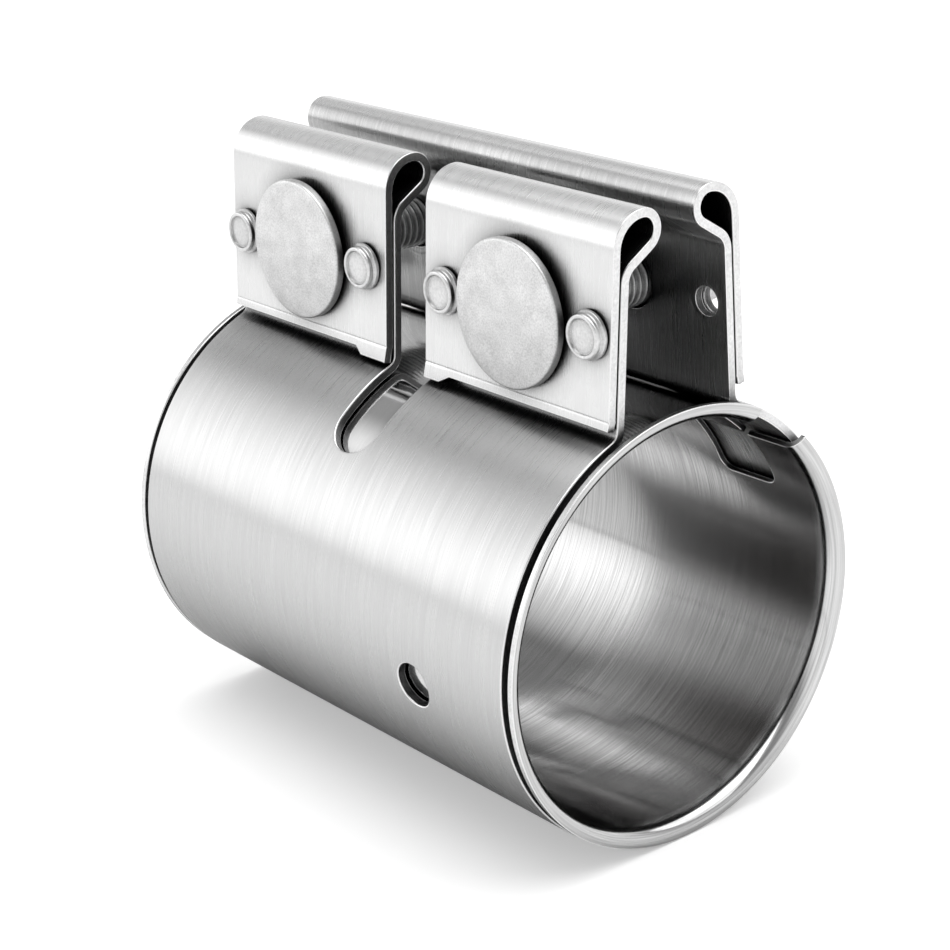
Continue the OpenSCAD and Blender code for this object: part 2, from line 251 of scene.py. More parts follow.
@dataclass(frozen=True)
class BrushedStainless(Metal):
    """Stainless sheet 1.4301, brushed along its length.

    To the eye it is a bright grey with fine lines that run round the pipe, so highlights spread
    across the lines. Real lines are about 0.05 mm apart; here they are drawn several times coarser
    so that they show.
    """

    name: str = "brushed_stainless_sheet"
    colour: str = "#E2E2E2"
    dark: str = "#D6D6D6"
    roughness: float = 0.27
    spread: float = 0.08
    anisotropy: float = 0.75
    line_width: float = 0.2
    line_length: float = 11.0
    streak_width: float = 1.1
    streak_share: float = 0.6
    noise_span: tuple[float, float] = (0.45, 1.15)
    line_depth: float = 0.008
    wave_size: float = 26.0
    wave_depth: float = 0.3
    # Painted shade in crevices: its dark colour, its reach and its two powers.
    painted_shade: str = "#202021"
    shade_reach: float = 32.0
    shade_powers: tuple[float, float] = (1.7, 1.0)
    # Shares of the painted shade taken off towards the top and towards the low end, and where.
    shade_eased: float = 0.0
    eased_from: float = 49.0
    eased_to: float = 58.5
    shade_thinned: float = 0.34
    thinned_from: float = 8.0
    thinned_to: float = -20.0
    # Painted shade and dark reflections in the bore: colour, span along it, levels and bands round
    # it.
    bore_shade: str = ""
    bore_shade_from: float = -8.0
    bore_shade_to: float = 43.0
    bore_shade_end: float = 45.4
    bore_shade_level: float = 0.62
    bore_shade_swing: float = 0.17
    bands: int = 7
    band_turn: float = 120.0
    band_depth: float = 0.12

    def shader(self, tree: Tree) -> Socket:
        """Builds the shader.

        The sheet's own layout carries the lines, u along it and v across it. The painted crevice
        shade may be eased towards the top and towards the low end.

        Args:
            tree: The material's tree.

        Returns:
            The shader's output.
        """
        layout = add_node(tree, "ShaderNodeUVMap", {"uv_map": "sheet"}).outputs[0]
        fine = self._lines(tree, layout, self.line_width, self.line_length, 2.0)
        broad = self._lines(tree, layout, self.streak_width, self.line_length * 4, 3.0)
        both = calculate(tree, "MULTIPLY_ADD", broad, self.streak_share, fine)
        place, x, y, z = object_place(tree)
        light = ramp(tree, both, *self.noise_span)
        unshaded = blend(tree, light, linear(self.dark), linear(self.colour))
        # The bore's colour takes painted shade and painted dark reflections.
        if self.bore_shade:
            unshaded = self._bore_shaded(tree, x, calculate(tree, "ARCTAN2", y, z), unshaded)
        colour = self.crevice_shaded(tree, unshaded)
        # Less painted shade towards the top and towards the low end.
        if self.shade_eased:
            eased_high = ramp(tree, z, self.eased_from * MM, self.eased_to * MM, 0.0, self.shade_eased,
                          kind=SMOOTH)
            eased_low = ramp(tree, x, self.thinned_to * MM, self.thinned_from * MM, self.shade_thinned, 0.0,
                           kind=SMOOTH)
            colour = blend(tree, calculate(tree, "MAXIMUM", eased_high, eased_low), colour, unshaded)
        rough = ramp(tree, both, *self.noise_span,
                     self.roughness + self.spread, self.roughness - self.spread / 2)
        waves = bump(tree, noise(tree, place, 1 / (self.wave_size * MM), 1.0), self.wave_depth, 0.5)
        normal = bump(tree, fine, self.line_depth, Normal=waves)
        grain = add_node(tree, "ShaderNodeTangent", {"direction_type": "UV_MAP", "uv_map": "sheet"})
        return self.metal(tree, colour, rough, normal, Tangent=grain.outputs[0],
                          Anisotropic=self.anisotropy, Anisotropic_Rotation=0.25)

    def _bore_shaded(self, tree: Tree, x: Socket, angle: Socket, colour: Socket) -> Socket:
        """Paints shade and dark reflections into the bore's colour: a grey that deepens towards the
        flare at the high end, and soft bands round the bore. With w = cos(bands angle - band_turn),
        the share is grow (level - swing w) + depth (1 - w).

        Args:
            tree: The material's tree.
            x: Place along the bore.
            angle: Angle round it.
            colour: The colour before the painted shade.

        Returns:
            The colour with the painted shade and reflections.
        """
        grow = ramp(tree, x, self.bore_shade_from * MM, self.bore_shade_to * MM, kind=SMOOTH)
        fade = ramp(tree, x, self.bore_shade_to * MM, self.bore_shade_end * MM, 1.0, 0.0, kind=SMOOTH)
        phase = calculate(tree, "MULTIPLY_ADD", angle, float(self.bands),
                          -math.radians(self.band_turn))
        wave = calculate(tree, "COSINE", phase)
        slope = calculate(tree, "MULTIPLY_ADD", wave, -self.bore_shade_swing, self.bore_shade_level)
        bands = calculate(tree, "MULTIPLY_ADD", wave, -self.band_depth, self.band_depth)
        both = calculate(tree, "ADD", calculate(tree, "MULTIPLY", grow, slope), bands, clamp=True)
        share = calculate(tree, "MULTIPLY", both, fade)
        return blend(tree, share, colour, linear(self.bore_shade), "MULTIPLY")

    @staticmethod
    def _lines(tree: Tree, layout: Socket, width: float, length: float, detail: float) -> Socket:
        """Adds noise drawn out into lines along u.

        Args:
            tree: The material's tree.
            layout: The sheet's layout.
            width: The lines' width in millimetres.
            length: Their length in millimetres.
            detail: How many finer layers of noise there are.

        Returns:
            The noise.
        """
        values = {"Vector": layout, "Scale": (1 / (length * MM), 1 / (width * MM), 1.0)}
        drawn = add_node(tree, "ShaderNodeMapping", values=values).outputs[0]
        return noise(tree, drawn, 1.0, detail, 0.6)


@dataclass(frozen=True)
class GrainySteel(Metal):
    """Plated or cut steel with a fine speckle that the eye reads as matt and slightly rough."""

    grain: float = 0.26
    depth: float = 0.006
    cloud_size: float = 12.0
    cloud_share: float = 0.5
    noise_span: tuple[float, float] = (0.5, 1.0)
    # Painted shade towards the low side: its colour and the heights over which it comes in.
    low_shade: str = ""
    low_shade_from: float = 52.0
    low_shade_to: float = 35.0

    def shader(self, tree: Tree) -> Socket:
        """Builds the shader from two sizes of noise on Object coordinates.

        The colour may be darkened towards the low side: painted shade.

        Args:
            tree: The material's tree.

        Returns:
            The shader's output.
        """
        place, _, _, z = object_place(tree)
        speckle = noise(tree, place, 1 / (self.grain * MM), 3.0, 0.65)
        clouds = noise(tree, place, 1 / (self.grain * self.cloud_size * MM), 2.0)
        both = calculate(tree, "MULTIPLY_ADD", clouds, self.cloud_share, speckle)
        light = ramp(tree, both, *self.noise_span)
        unshaded = blend(tree, light, linear(self.dark), linear(self.colour))
        # Painted shade: darker towards the low side.
        if self.low_shade:
            low = ramp(tree, z, self.low_shade_to * MM, self.low_shade_from * MM, 1.0, 0.0, kind=SMOOTH)
            unshaded = blend(tree, low, unshaded, linear(self.low_shade), "MULTIPLY")
        rough = ramp(tree, both, *self.noise_span, self.roughness + self.spread, self.roughness)
        return self.metal(tree, self.crevice_shaded(tree, unshaded), rough, bump(tree, speckle, self.depth))


@dataclass(frozen=True)
class PaleFloor(Finish):
    """A white sheet of matt paper under the object.

    It is a little lifted for the camera so that its shadow stays soft, and more so far off, where
    it fades into the white wall. What the object mirrors of it glows faintly from a short way off,
    as a lit sweep does.
    """

    name: str = "white_paper"
    colour: str = "#F7F7F7"
    lift: float = 0.36
    near: float = 0.3
    far: float = 1.2
    glow: float = 0.08
    glow_near: float = 0.25
    glow_far: float = 0.4

    def shader(self, tree: Tree) -> Socket:
        """Adds the lift, or in mirrors the glow, to the paper.

        Args:
            tree: The material's tree.

        Returns:
            The shader's output.
        """
        paper = add_node(tree, "ShaderNodeBsdfDiffuse", values={0: linear(self.colour)}).outputs[0]
        seen = add_node(tree, "ShaderNodeLightPath").outputs["Is Camera Ray"]
        place = add_node(tree, "ShaderNodeTexCoord").outputs["Object"]
        length = add_node(tree, "ShaderNodeVectorMath", {"operation": "LENGTH"}, {0: place})
        away = length.outputs["Value"]
        lift = ramp(tree, away, self.near, self.far, self.lift, 1.0)
        glow = ramp(tree, away, self.glow_near, self.glow_far, 0.0, self.glow, kind=SMOOTH)
        share = add_node(tree, "ShaderNodeMix", values={0: seen, 2: glow, 3: lift}).outputs[0]
        light = add_node(tree, "ShaderNodeEmission", values={0: linear(WHITE), 1: share}).outputs[0]
        return add_node(tree, "ShaderNodeAddShader", values={0: paper, 1: light}).outputs[0]


# ---------------------------------------------------------------- meshes


def quads(grid: Array) -> Array:
    """Gives each cell's four corners, (cells, 4, numbers), all going round the same way."""
    corners = [grid[:-1, :-1], grid[1:, :-1], grid[1:, 1:], grid[:-1, 1:]]
    return np.stack(corners, 2).reshape(-1, 4, grid.shape[-1])


def merged(corners: Array, width: int) -> tuple[Ints, Ints]:
    """Finds the corners that share a place.

    Args:
        corners: The faces' corners, one face after the other.
        width: How many corners a face has.

    Returns:
        The first corner of each place, and each face as place numbers.
    """
    keys = np.round(corners, DECIMALS + 1)
    _, first, place = np.unique(keys, axis=0, return_index=True, return_inverse=True)
    return first, place.reshape(-1, width)


def area_normals(points: Array, faces: Ints) -> Array:
    """Averages the faces' normals at each vertex by area, so that a narrow rim doesn't tilt a wide
    face.

    Args:
        points: Vertex places.
        faces: Four vertex numbers a face; a triangle repeats one.

    Returns:
        One unit normal a vertex.
    """
    p = points[faces]
    normal = np.cross(p[:, 2] - p[:, 0], p[:, 3] - p[:, 1])
    total = np.zeros_like(points)
    for corner in range(4):
        for axis in range(3):
            total[:, axis] += np.bincount(faces[:, corner], normal[:, axis], len(points))
    return total / np.maximum(np.linalg.norm(total, axis=1, keepdims=True), 1e-12)


def outward(points: Array, faces: Ints) -> Ints:
    """Turns a closed skin's faces outwards: 6 V = sum of p0 . (p1 x p2 + p2 x p3) is positive."""
    p0, p1, p2, p3 = points[faces].transpose(1, 0, 2)
    return faces if (p0 * (np.cross(p1, p2) + np.cross(p2, p3))).sum() > 0 else faces[:, ::-1]


def make_piece(name: str, points: Array, faces: Ints, materials: list[bpy.types.Material],
               kinds: Ints | None = None, layout: Array | None = None) -> bpy.types.Object:
    """Makes an object from a closed skin of quads.

    Args:
        name: The piece's name.
        points: Vertex places in millimetres.
        faces: Four vertex numbers a face; a triangle repeats one.
        materials: The piece's materials.
        kinds: Which material each face has.
        layout: Two numbers a vertex for the map called sheet, in millimetres.

    Returns:
        The linked object.
    """
    faces = outward(points, faces)
    normals = area_normals(points, faces)
    same = faces == np.roll(faces, -1, axis=1)
    whole = same.sum(axis=1) < 2
    faces, same = faces[whole], same[whole]
    sizes = np.where(same.any(axis=1), 3, 4)
    corners = faces.reshape(-1)[~same.reshape(-1)]
    mesh = bpy.data.meshes.new(name)
    mesh.vertices.add(len(points))
    mesh.vertices.foreach_set("co", (points * MM).astype(np.float32).ravel())
    mesh.loops.add(len(corners))
    mesh.loops.foreach_set("vertex_index", corners.astype(np.int32))
    mesh.polygons.add(len(sizes))
    starts = np.concatenate([[0], np.cumsum(sizes)[:-1]])
    mesh.polygons.foreach_set("loop_start", starts.astype(np.int32))
    for material in materials:
        mesh.materials.append(material)
    if kinds is not None:
        mesh.polygons.foreach_set("material_index", kinds[whole].astype(np.int32))
    if layout is not None:
        sheet = mesh.uv_layers.new(name="sheet")
        sheet.uv.foreach_set("vector", (layout[corners] * MM).astype(np.float32).ravel())
    mesh.update(calc_edges=True)
    mesh.validate()
    mesh.shade_smooth()
    mesh.normals_split_custom_set_from_vertices(normals.tolist())
    return link(name, mesh)


def divide(stops: list[tuple[float, float]]) -> Array:
    """Divides a line into cells.

    Args:
        stops: Rising places, each with the largest cell wanted up to the next.

    Returns:
        The cells' ends.
    """
    parts = [np.linspace(a, b, max(1, math.ceil((b - a) / cell - SLACK)) + 1)[:-1]
             for (a, cell), (b, _) in zip(stops, stops[1:]) if b - a > SLACK]
    return np.concatenate(parts + [[stops[-1][0]]])


@dataclass(frozen=True)
class Cutout:
    """A cut-out in a flat sheet: all that lies within radius of a core rectangle, with a collar of
    fitted cells."""

    u: tuple[float, float]
    v: tuple[float, float]
    radius: float
    margin: float = 1.4
    layers: int = 3

    CROWDING = 1.5

    @property
    def box(self) -> tuple[float, float, float, float]:
        """The collar's lowest and highest u, then its lowest and highest v."""
        out = self.radius + self.margin
        sides = self.u[0] - out, self.u[1] + out, self.v[0] - out, self.v[1] + out
        return tuple(round(float(side), DECIMALS) for side in sides)

    def collar(self, lines_u: Array, lines_v: Array) -> Array:
        """Fits quads between the collar's box, which may be open at the sheet's low end, and the
        cut-out.

        A point p on the box goes in to q, which lies at the radius from the nearest point c of the
        core: q = c + radius (p - c) / |p - c|. Layers run straight from q to p, closer together
        near q.

        Args:
            lines_u: The sheet's lines along u.
            lines_v: The sheet's lines along v.

        Returns:
            Corners of the quads, (faces, 4, 2).
        """
        u0, u1, v0, v1 = self.box
        low, high = max(v0, lines_v[0]), min(v1, lines_v[-1])
        us = lines_u[(lines_u > u0 - SLACK) & (lines_u < u1 + SLACK)]
        vs = lines_v[(lines_v > low - SLACK) & (lines_v < high + SLACK)]
        bottom = np.stack([us, np.full_like(us, low)], 1)
        top = np.stack([us, np.full_like(us, high)], 1)[::-1]
        right = np.stack([np.full_like(vs, u1), vs], 1)
        left = np.stack([np.full_like(vs, u0), vs], 1)[::-1]
        first, *rest = [right, top, left] if v0 < lines_v[0] - SLACK else [bottom, right, top, left]
        rim = np.concatenate([first] + [side[1:] for side in rest])
        core = np.stack([np.clip(rim[:, 0], *self.u), np.clip(rim[:, 1], *self.v)], 1)
        way = rim - core
        edge = core + self.radius * way / np.linalg.norm(way, axis=1, keepdims=True)
        share = (np.linspace(0, 1, self.layers + 1) ** self.CROWDING)[:, None, None]
        return quads(edge + (rim - edge) * share)


class Layer(Enum):
    """The parts of a sheet's skin: the numbers of their materials."""

    TOP = 0
    CUT = 1
    BOTTOM = 2
    FLAP = 3
    BURR = 4


class Sheet(ABC):
    """A sheet of metal laid out flat, u across it and v along it, then carried through its bends.

    Subclasses say where a flat point goes. The top face is at half the thickness above the middle
    surface, and the rim is rounded over by one radius at the top and another at the bottom, as a
    punched edge is.
    """

    thickness: float = 1.0
    top_round: float = 0.22
    bottom_round: float = 0.12
    rim_steps: int = 3

    # The least |n1 + n2| squared that is reckoned with, so that no corner reaches out far.
    SHARPEST = 0.5

    @abstractmethod
    def lines(self) -> tuple[Array, Array]:
        """Gives the flat sheet's lines along u and along v."""

    @abstractmethod
    def cutouts(self) -> list[Cutout]:
        """Gives the sheet's cut-outs."""

    @abstractmethod
    def place(self, u: Array, v: Array, w: Array) -> Array:
        """Carries flat points, w above the middle surface, to their places on the object."""

    def keep(self, u: Array, v: Array) -> NDArray[np.bool_]:
        """Says which cells, by their centres, are sheet: all, if a subclass says nothing."""
        return np.ones(u.shape, bool)

    def warp(self, u: Array, v: Array) -> tuple[Array, Array]:
        """Moves flat points for outlines that don't follow the lines. By itself it moves none."""
        return u, v

    def emboss(self, u: Array, v: Array) -> Array:
        """Gives how far both faces are pressed upwards at flat points. By itself nowhere."""
        return np.zeros_like(u)

    def under(self, u: Array, v: Array) -> Ints:
        """Gives the bottom face's material numbers, by cells' centres: by itself only one."""
        return np.full(u.shape, Layer.BOTTOM.value)

    def flat(self) -> Array:
        """Lays out all cells.

        Returns:
            Corners of the quads, (faces, 4, 2), each going round the same way.
        """
        lines_u, lines_v = self.lines()
        u, v = np.meshgrid(lines_u, lines_v, indexing="ij")
        cells = quads(np.stack([u, v], -1))
        middle_u, middle_v = cells.mean(axis=1).T
        good = self.keep(middle_u, middle_v)
        collars = []
        for cut in self.cutouts():
            u0, u1, v0, v1 = cut.box
            good &= ~((middle_u > u0) & (middle_u < u1) & (middle_v > v0) & (middle_v < v1))
            collars.append(cut.collar(lines_u, lines_v))
        return np.concatenate([cells[good]] + collars)

    def build(self) -> tuple[Array, Ints, Ints, Array]:
        """Builds the closed skin.

        Each edge that only one cell has is rim. At a rim vertex the outward direction in the flat
        is n = (n1 + n2) / (1 + n1.n2) from its two edges, and the rim's points run over quarter
        circles: inset = r (1 - sin a), height = t / 2 - r + r cos a, at the top and mirrored at the
        bottom.

        Returns:
            Points, faces, each face's material number and the layout at each point.
        """
        cells = self.flat()
        first, faces = merged(cells.reshape(-1, 2), 4)
        uv = cells.reshape(-1, 2)[first]
        start, end = faces.reshape(-1), np.roll(faces, -1, axis=1).reshape(-1)
        count = len(uv)
        both = np.isin(start * count + end, end * count + start)
        start, end = start[~both], end[~both]
        step = uv[end] - uv[start]
        side = np.stack([step[:, 1], -step[:, 0]], 1) / np.linalg.norm(step, axis=1, keepdims=True)
        out = np.zeros((count, 2))
        np.add.at(out, start, side)
        np.add.at(out, end, side)
        out = 2 * out / np.maximum((out ** 2).sum(axis=1), self.SHARPEST)[:, None]
        rim = np.unique(np.concatenate([start, end]))
        number = np.full(count, -1)
        number[rim] = order = np.arange(len(rim))

        turn = np.linspace(0, math.pi / 2, self.rim_steps + 1)
        top, bottom = self.top_round, self.bottom_round
        inset = np.concatenate([top * (1 - np.sin(turn)), bottom * (1 - np.sin(turn[::-1]))])
        height = np.concatenate([self.thickness / 2 - top * (1 - np.cos(turn)),
                                 bottom * (1 - np.cos(turn[::-1])) - self.thickness / 2])
        between = range(1, len(inset) - 1)
        rows = [(0, uv, out), (len(inset) - 1, uv, out)]
        rows += [(row, uv[rim], out[rim]) for row in between]
        points, layout = [], []
        for row, at, way in rows:
            flat = (at - way * inset[row]).T
            u, v = self.warp(*flat)
            points.append(self.place(u, v, height[row] + self.emboss(*flat)))
            layout.append(np.stack([v, u], 1))
        inner = (2 * count + (row - 1) * len(rim) + order for row in between)
        columns = np.stack([rim, *inner, count + rim])
        a, b = columns[:, number[start]], columns[:, number[end]]
        wall = np.stack([a[:-1], a[1:], b[1:], b[:-1]], -1).reshape(-1, 4)
        skin = np.concatenate([faces, faces[:, ::-1] + count, wall])
        rounded = [Layer.BURR.value] * self.rim_steps
        sides = np.repeat(rounded + [Layer.CUT.value] + rounded, len(start))
        under = self.under(*cells.mean(axis=1).T)
        kinds = np.concatenate([np.full(len(faces), Layer.TOP.value), under, sides])
        return np.concatenate(points), skin, kinds, np.concatenate(layout)


def closed(rows: Array) -> tuple[Array, Ints]:
    """Closes rings of points into a skin. Points that share a place are merged.

    Args:
        rows: The rings, (rows, columns, 3), with the first column repeated as the last.

    Returns:
        The skin's points and faces.
    """
    corners = quads(rows).reshape(-1, 3)
    first, faces = merged(corners, 4)
    return corners[first], faces


def fillet(profile: list[tuple[float, float, float]], steps: int = 4) -> Array:
    """Rounds the corners of a profile.

    A corner with radius r between unit directions a and b is replaced by an arc whose ends lie
    r tan(turn / 2) from the corner, drawn as points of a circle about the arc's centre.

    Args:
        profile: Points as (radius from the axis, place along it, corner radius).
        steps: Flats in each arc.

    Returns:
        Points as (radius, place).
    """
    points = np.array([p[:2] for p in profile])
    done = [points[:1]]
    for i in range(1, len(profile) - 1):
        r = profile[i][2]
        a = points[i] - points[i - 1]
        b = points[i + 1] - points[i]
        a, b = a / np.linalg.norm(a), b / np.linalg.norm(b)
        turn = math.acos(float(np.clip(a @ b, -1, 1)))
        if r <= 0:
            done.append(points[i:i + 1])
            continue
        reach = r * math.tan(turn / 2)
        left = math.copysign(1.0, a[0] * b[1] - a[1] * b[0])
        start = points[i] - reach * a
        centre = start + left * r * np.array([-a[1], a[0]])
        angle = left * np.linspace(0, turn, steps + 1)[:, None]
        ray = start - centre
        done.append(centre + np.cos(angle) * ray + np.sin(angle) * np.array([-ray[1], ray[0]]))
    done.append(points[-1:])
    return np.concatenate(done)


# ---------------------------------------------------------------- the pieces


@dataclass
class BentPath:
    """The middle line of a bent sheet: straights (length,) and bends (radius, turn to the left in
    degrees)."""

    start: tuple[float, float]
    heading: float
    moves: list[tuple[float, ...]]
    stations: Array = field(init=False)

    def __post_init__(self) -> None:
        """Works out where each move starts: place along the line, y, z, heading and curvature."""
        y, z, heading, along = *self.start, math.radians(self.heading), 0.0
        rows = []
        for move in self.moves:
            if len(move) == 1:
                length, bend = move[0], 0.0
            else:
                length = move[0] * abs(math.radians(move[1]))
                bend = math.copysign(1 / move[0], move[1])
            rows.append((along, y, z, heading, bend))
            along += length
            if bend:
                turned_to = heading + bend * length
                y += (math.sin(turned_to) - math.sin(heading)) / bend
                z -= (math.cos(turned_to) - math.cos(heading)) / bend
                heading = turned_to
            else:
                y += length * math.cos(heading)
                z += length * math.sin(heading)
        rows.append((along, y, z, heading, 0.0))
        self.stations = np.array(rows)

    def at(self, along: Array) -> tuple[Array, Array, Array]:
        """Follows the line: in a bend of curvature k the heading h turns by k s, and the place
        moves by ((sin(h + ks) - sin h) / k, (cos h - cos(h + ks)) / k).

        Args:
            along: Distances along the line.

        Returns:
            y, z and heading in radians.
        """
        i = np.searchsorted(self.stations[:, 0], along, side="right") - 1
        s0, y0, z0, h0, k = self.stations[np.clip(i, 0, len(self.stations) - 1)].T
        s = along - s0
        h = h0 + k * s
        bent = k != 0
        safe = np.where(bent, k, 1.0)
        y = y0 + np.where(bent, (np.sin(h) - np.sin(h0)) / safe, s * np.cos(h0))
        z = z0 + np.where(bent, (np.cos(h0) - np.cos(h)) / safe, s * np.sin(h0))
        return y, z, h

    def along_at(self, move: int, z: float) -> float:
        """Gives how far along the line the straight move of a number passes the height z."""
        s0, _, z0, h0, _ = self.stations[move]
        return float(s0 + (z - z0) / math.sin(h0))


@dataclass
class Fasteners:
    """Where bolts and rivets sit."""

    bolt_x: float = 25.35
    bolt_z: float = 46.4
    rivet_offset: float = 15.65
    lean: float = 3.0

    def bolts(self) -> tuple[float, float]:
        """The bolts' places along the pipe."""
        return -self.bolt_x, self.bolt_x

    def rivets(self) -> list[float]:
        """The rivets' places along the pipe."""
        return [x + d * self.rivet_offset for x in self.bolts() for d in (-1, 1)]


@dataclass
class ClampBand(Sheet):
    """The band: one sheet with ring, two lugs with loops and flaps, slot, tabs and locating
    hole."""

    fasteners: Fasteners
    thickness: float = 1.4
    half_len: float = 45.0
    ring_r: float = 33.3
    lug_gap: float = 19.2
    foot_bend_r: float = 1.6
    layer_gap: float = 0.25
    loop_z: dict[Side, float] = field(default_factory=lambda: {Side.LOW: 60.35, Side.HIGH: 61.55})
    flap_z: dict[Side, float] = field(default_factory=lambda: {Side.LOW: 33.2, Side.HIGH: 34.3})
    loop_reach: float = 3.2
    loop_r: float = 2.55
    neck_r: float = 3.2
    neck_turn: float = 55.0
    lip: float = 1.25
    lip_turn: float = 10.0
    lip_r: float = 1.2
    crease_depth: float = 0.07
    crease_width: float = 0.16
    tab_drop: float = 1.2
    tab_ends: tuple[tuple[float, float], tuple[float, float]] = ((-12.2, -10.8), (8.3, 10.6))
    slot_half: float = 4.8
    slot_angle: float = 41.0
    hole_x: float = 24.6
    hole_angle: float = 99.5
    hole_r: float = 3.45
    bolt_hole_r: float = 4.25
    neck_hole_half: float = 4.3
    neck_corner: float = 0.5
    rivet_hole_r: float = 2.1
    spare_hole_r: float = 2.2
    square_collar: float = 1.55
    bolt_collar: float = 1.6
    rivet_collar: float = 3.4
    slot_collar: float = 1.5
    hole_collar: float = 1.65
    ring_rise: float = 0.12
    rivet_ring: tuple[float, float] = (0.75, 0.3)
    bolt_ring: tuple[float, float] = (1.1, 0.35)
    cell: float = 1.1
    ring_cell: float = 1.2
    bend_step: float = 7.5
    crease_cell: float = 0.09
    crease_reach: float = 0.25
    paths: dict[Side, BentPath] = field(init=False)
    ring_len: float = field(init=False)

    # The numbers of some of a lug's moves, from the ring's foot to the lip.
    INNER = 1
    SHOULDER = 5
    FLAP = 6
    CREASE = 7
    LIP = 8

    def __post_init__(self) -> None:
        """Works out both lugs' middle lines from the ring's foot to the flap's lower edge."""
        half = self.thickness / 2
        lean = math.radians(self.fasteners.lean)
        foot_r = self.foot_bend_r + half
        along = np.array([-math.sin(lean), math.cos(lean)])
        across = np.array([math.cos(lean), math.sin(lean)])
        at_bolt = np.array([self.lug_gap / 2 + half / math.cos(lean), self.fasteners.bolt_z])
        start = at_bolt + foot_r * across
        b = float(start @ along)
        s = -b + math.sqrt(b * b - float(start @ start) + (self.ring_r + foot_r) ** 2)
        centre = start + s * along
        angle = math.degrees(math.atan2(centre[0], centre[1]))
        foot = centre * self.ring_r / (self.ring_r + foot_r)
        offset = self.thickness + self.layer_gap
        shoulder = self.loop_reach + offset
        neck = math.radians(self.neck_turn)
        bends = self.neck_r + self.loop_r
        run = (self.loop_reach - self.neck_r + bends * math.cos(neck)) / math.sin(neck)
        rise = bends * math.sin(neck) + run * math.cos(neck)
        lip_turn = math.radians(self.lip_turn)
        lip_up = self.lip * math.cos(lip_turn) + self.lip_r * math.sin(lip_turn)

        def up(z: float, beside: float) -> float:
            """How far up the lug from the bolts a height is, that far beside the inner layer."""
            return (z - self.fasteners.bolt_z - beside * math.sin(lean)) / math.cos(lean)

        self.paths = {}
        for side in Side:
            loop_up = up(self.loop_z[side], -self.loop_reach)
            flap_up = up(self.flap_z[side], offset)
            self.paths[side] = BentPath((float(foot[0]), float(foot[1])), 180 - angle, [
                (foot_r, angle + self.fasteners.lean - 90),
                (loop_up - rise - s,),
                (self.neck_r, self.neck_turn),
                (run,),
                (self.loop_r, -self.neck_turn - 90),
                (shoulder, -90),
                (loop_up + self.loop_r - shoulder - flap_up - lip_up,),
                (self.lip_r, self.lip_turn),
                (self.lip,),
            ])
        self.ring_len = math.radians(180 - angle) * self.ring_r

    def _start(self, side: Side, move: int) -> float:
        """The layout's v where one of a lug's moves starts."""
        return side.value * (self.ring_len + float(self.paths[side].stations[move, 0]))

    def _bolt_v(self, side: Side, move: int) -> float:
        """The layout's v where a lug's straight move passes the bolts' height."""
        return side.value * (self.ring_len + self.paths[side].along_at(move, self.fasteners.bolt_z))

    def _front(self, degrees: float) -> float:
        """The layout's v on the ring's front, at an angle from the top."""
        return -self.ring_r * math.radians(180 - degrees)

    def cutouts(self) -> list[Cutout]:
        """Cuts the bolt and rivet holes of all four layers, the slot and the locating hole.

        Returns:
            All cut-outs.
        """
        f = self.fasteners
        square = self.neck_hole_half - self.neck_corner
        cuts = []
        for side in Side:
            for v in (self._bolt_v(side, move) for move in (self.INNER, self.FLAP)):
                if side is Side.LOW:
                    r = self.rivet_hole_r
                    cuts += [Cutout((x - square, x + square), (v - square, v + square),
                                    self.neck_corner, self.square_collar) for x in f.bolts()]
                else:
                    r = self.spare_hole_r
                    cuts += [Cutout((x, x), (v, v), self.bolt_hole_r, self.bolt_collar, 6)
                             for x in f.bolts()]
                cuts += [Cutout((x, x), (v, v), r, self.rivet_collar - r, 5) for x in f.rivets()]
        x, v = self.hole_x, self._front(self.hole_angle)
        slot = (-BEYOND, self._front(self.slot_angle))
        return cuts + [Cutout((0, 0), slot, self.slot_half, self.slot_collar),
                       Cutout((x, x), (v, v), self.hole_r, self.hole_collar, 4)]

    def lines(self) -> tuple[Array, Array]:
        """Lays the lines: about 1 mm apart, at all collars' and bends' ends, and closer in bends
        and creases.

        Returns:
            The lines along u and along v.
        """
        cuts = self.cutouts()
        fixed = [-self.half_len, self.half_len, -self.slot_half, self.slot_half]
        fixed += [*np.ravel(self.tab_ends), *(u for cut in cuts for u in cut.box[:2])]
        lines_u = divide([(u, 1.0) for u in sorted({round(float(u), DECIMALS) for u in fixed})])
        stops: dict[float, float] = {}
        for side in Side:
            for k, bend in enumerate(self.paths[side].stations[:-1, 4]):
                low, high = sorted(round(self._start(side, move), DECIMALS) for move in (k, k + 1))
                stops[low] = math.radians(self.bend_step) / abs(bend) if bend else self.cell
                stops.setdefault(high, self.ring_cell)
        stops[round(-self.ring_len, DECIMALS)] = self.ring_cell
        for side in Side:
            ends = self._start(side, self.CREASE), self._start(side, self.LIP)
            low, high = min(ends) - self.crease_reach, max(ends) + self.crease_reach
            stops[round(high, DECIMALS)] = stops[max(v for v in stops if v <= high)]
            stops |= dict.fromkeys([v for v in stops if low < v < high], self.crease_cell)
            stops[round(low, DECIMALS)] = self.crease_cell
        first, last = min(stops), max(stops)
        for v in sorted({v for cut in cuts for v in cut.box[2:] if first < v < last}):
            stops.setdefault(v, stops[max(stop for stop in stops if stop <= v)])
        return lines_u, divide(sorted(stops.items()))

    def keep(self, u: Array, v: Array) -> NDArray[np.bool_]:
        """Leaves out the slot above its round end."""
        return ~((np.abs(u) < self.slot_half) & (v < self._front(self.slot_angle)))

    def warp(self, u: Array, v: Array) -> tuple[Array, Array]:
        """Draws the front flap's last strip out into a tab at each lobe's inner corner.

        Args:
            u: Places across the sheet.
            v: Places along it.

        Returns:
            The moved u and v.
        """
        share = np.interp(u, np.ravel(self.tab_ends), [0.0, 1.0, 1.0, 0.0])
        past = np.minimum(v - self._start(Side.LOW, self.LIP), 0.0)
        return u, v + past * share * self.tab_drop / self.lip

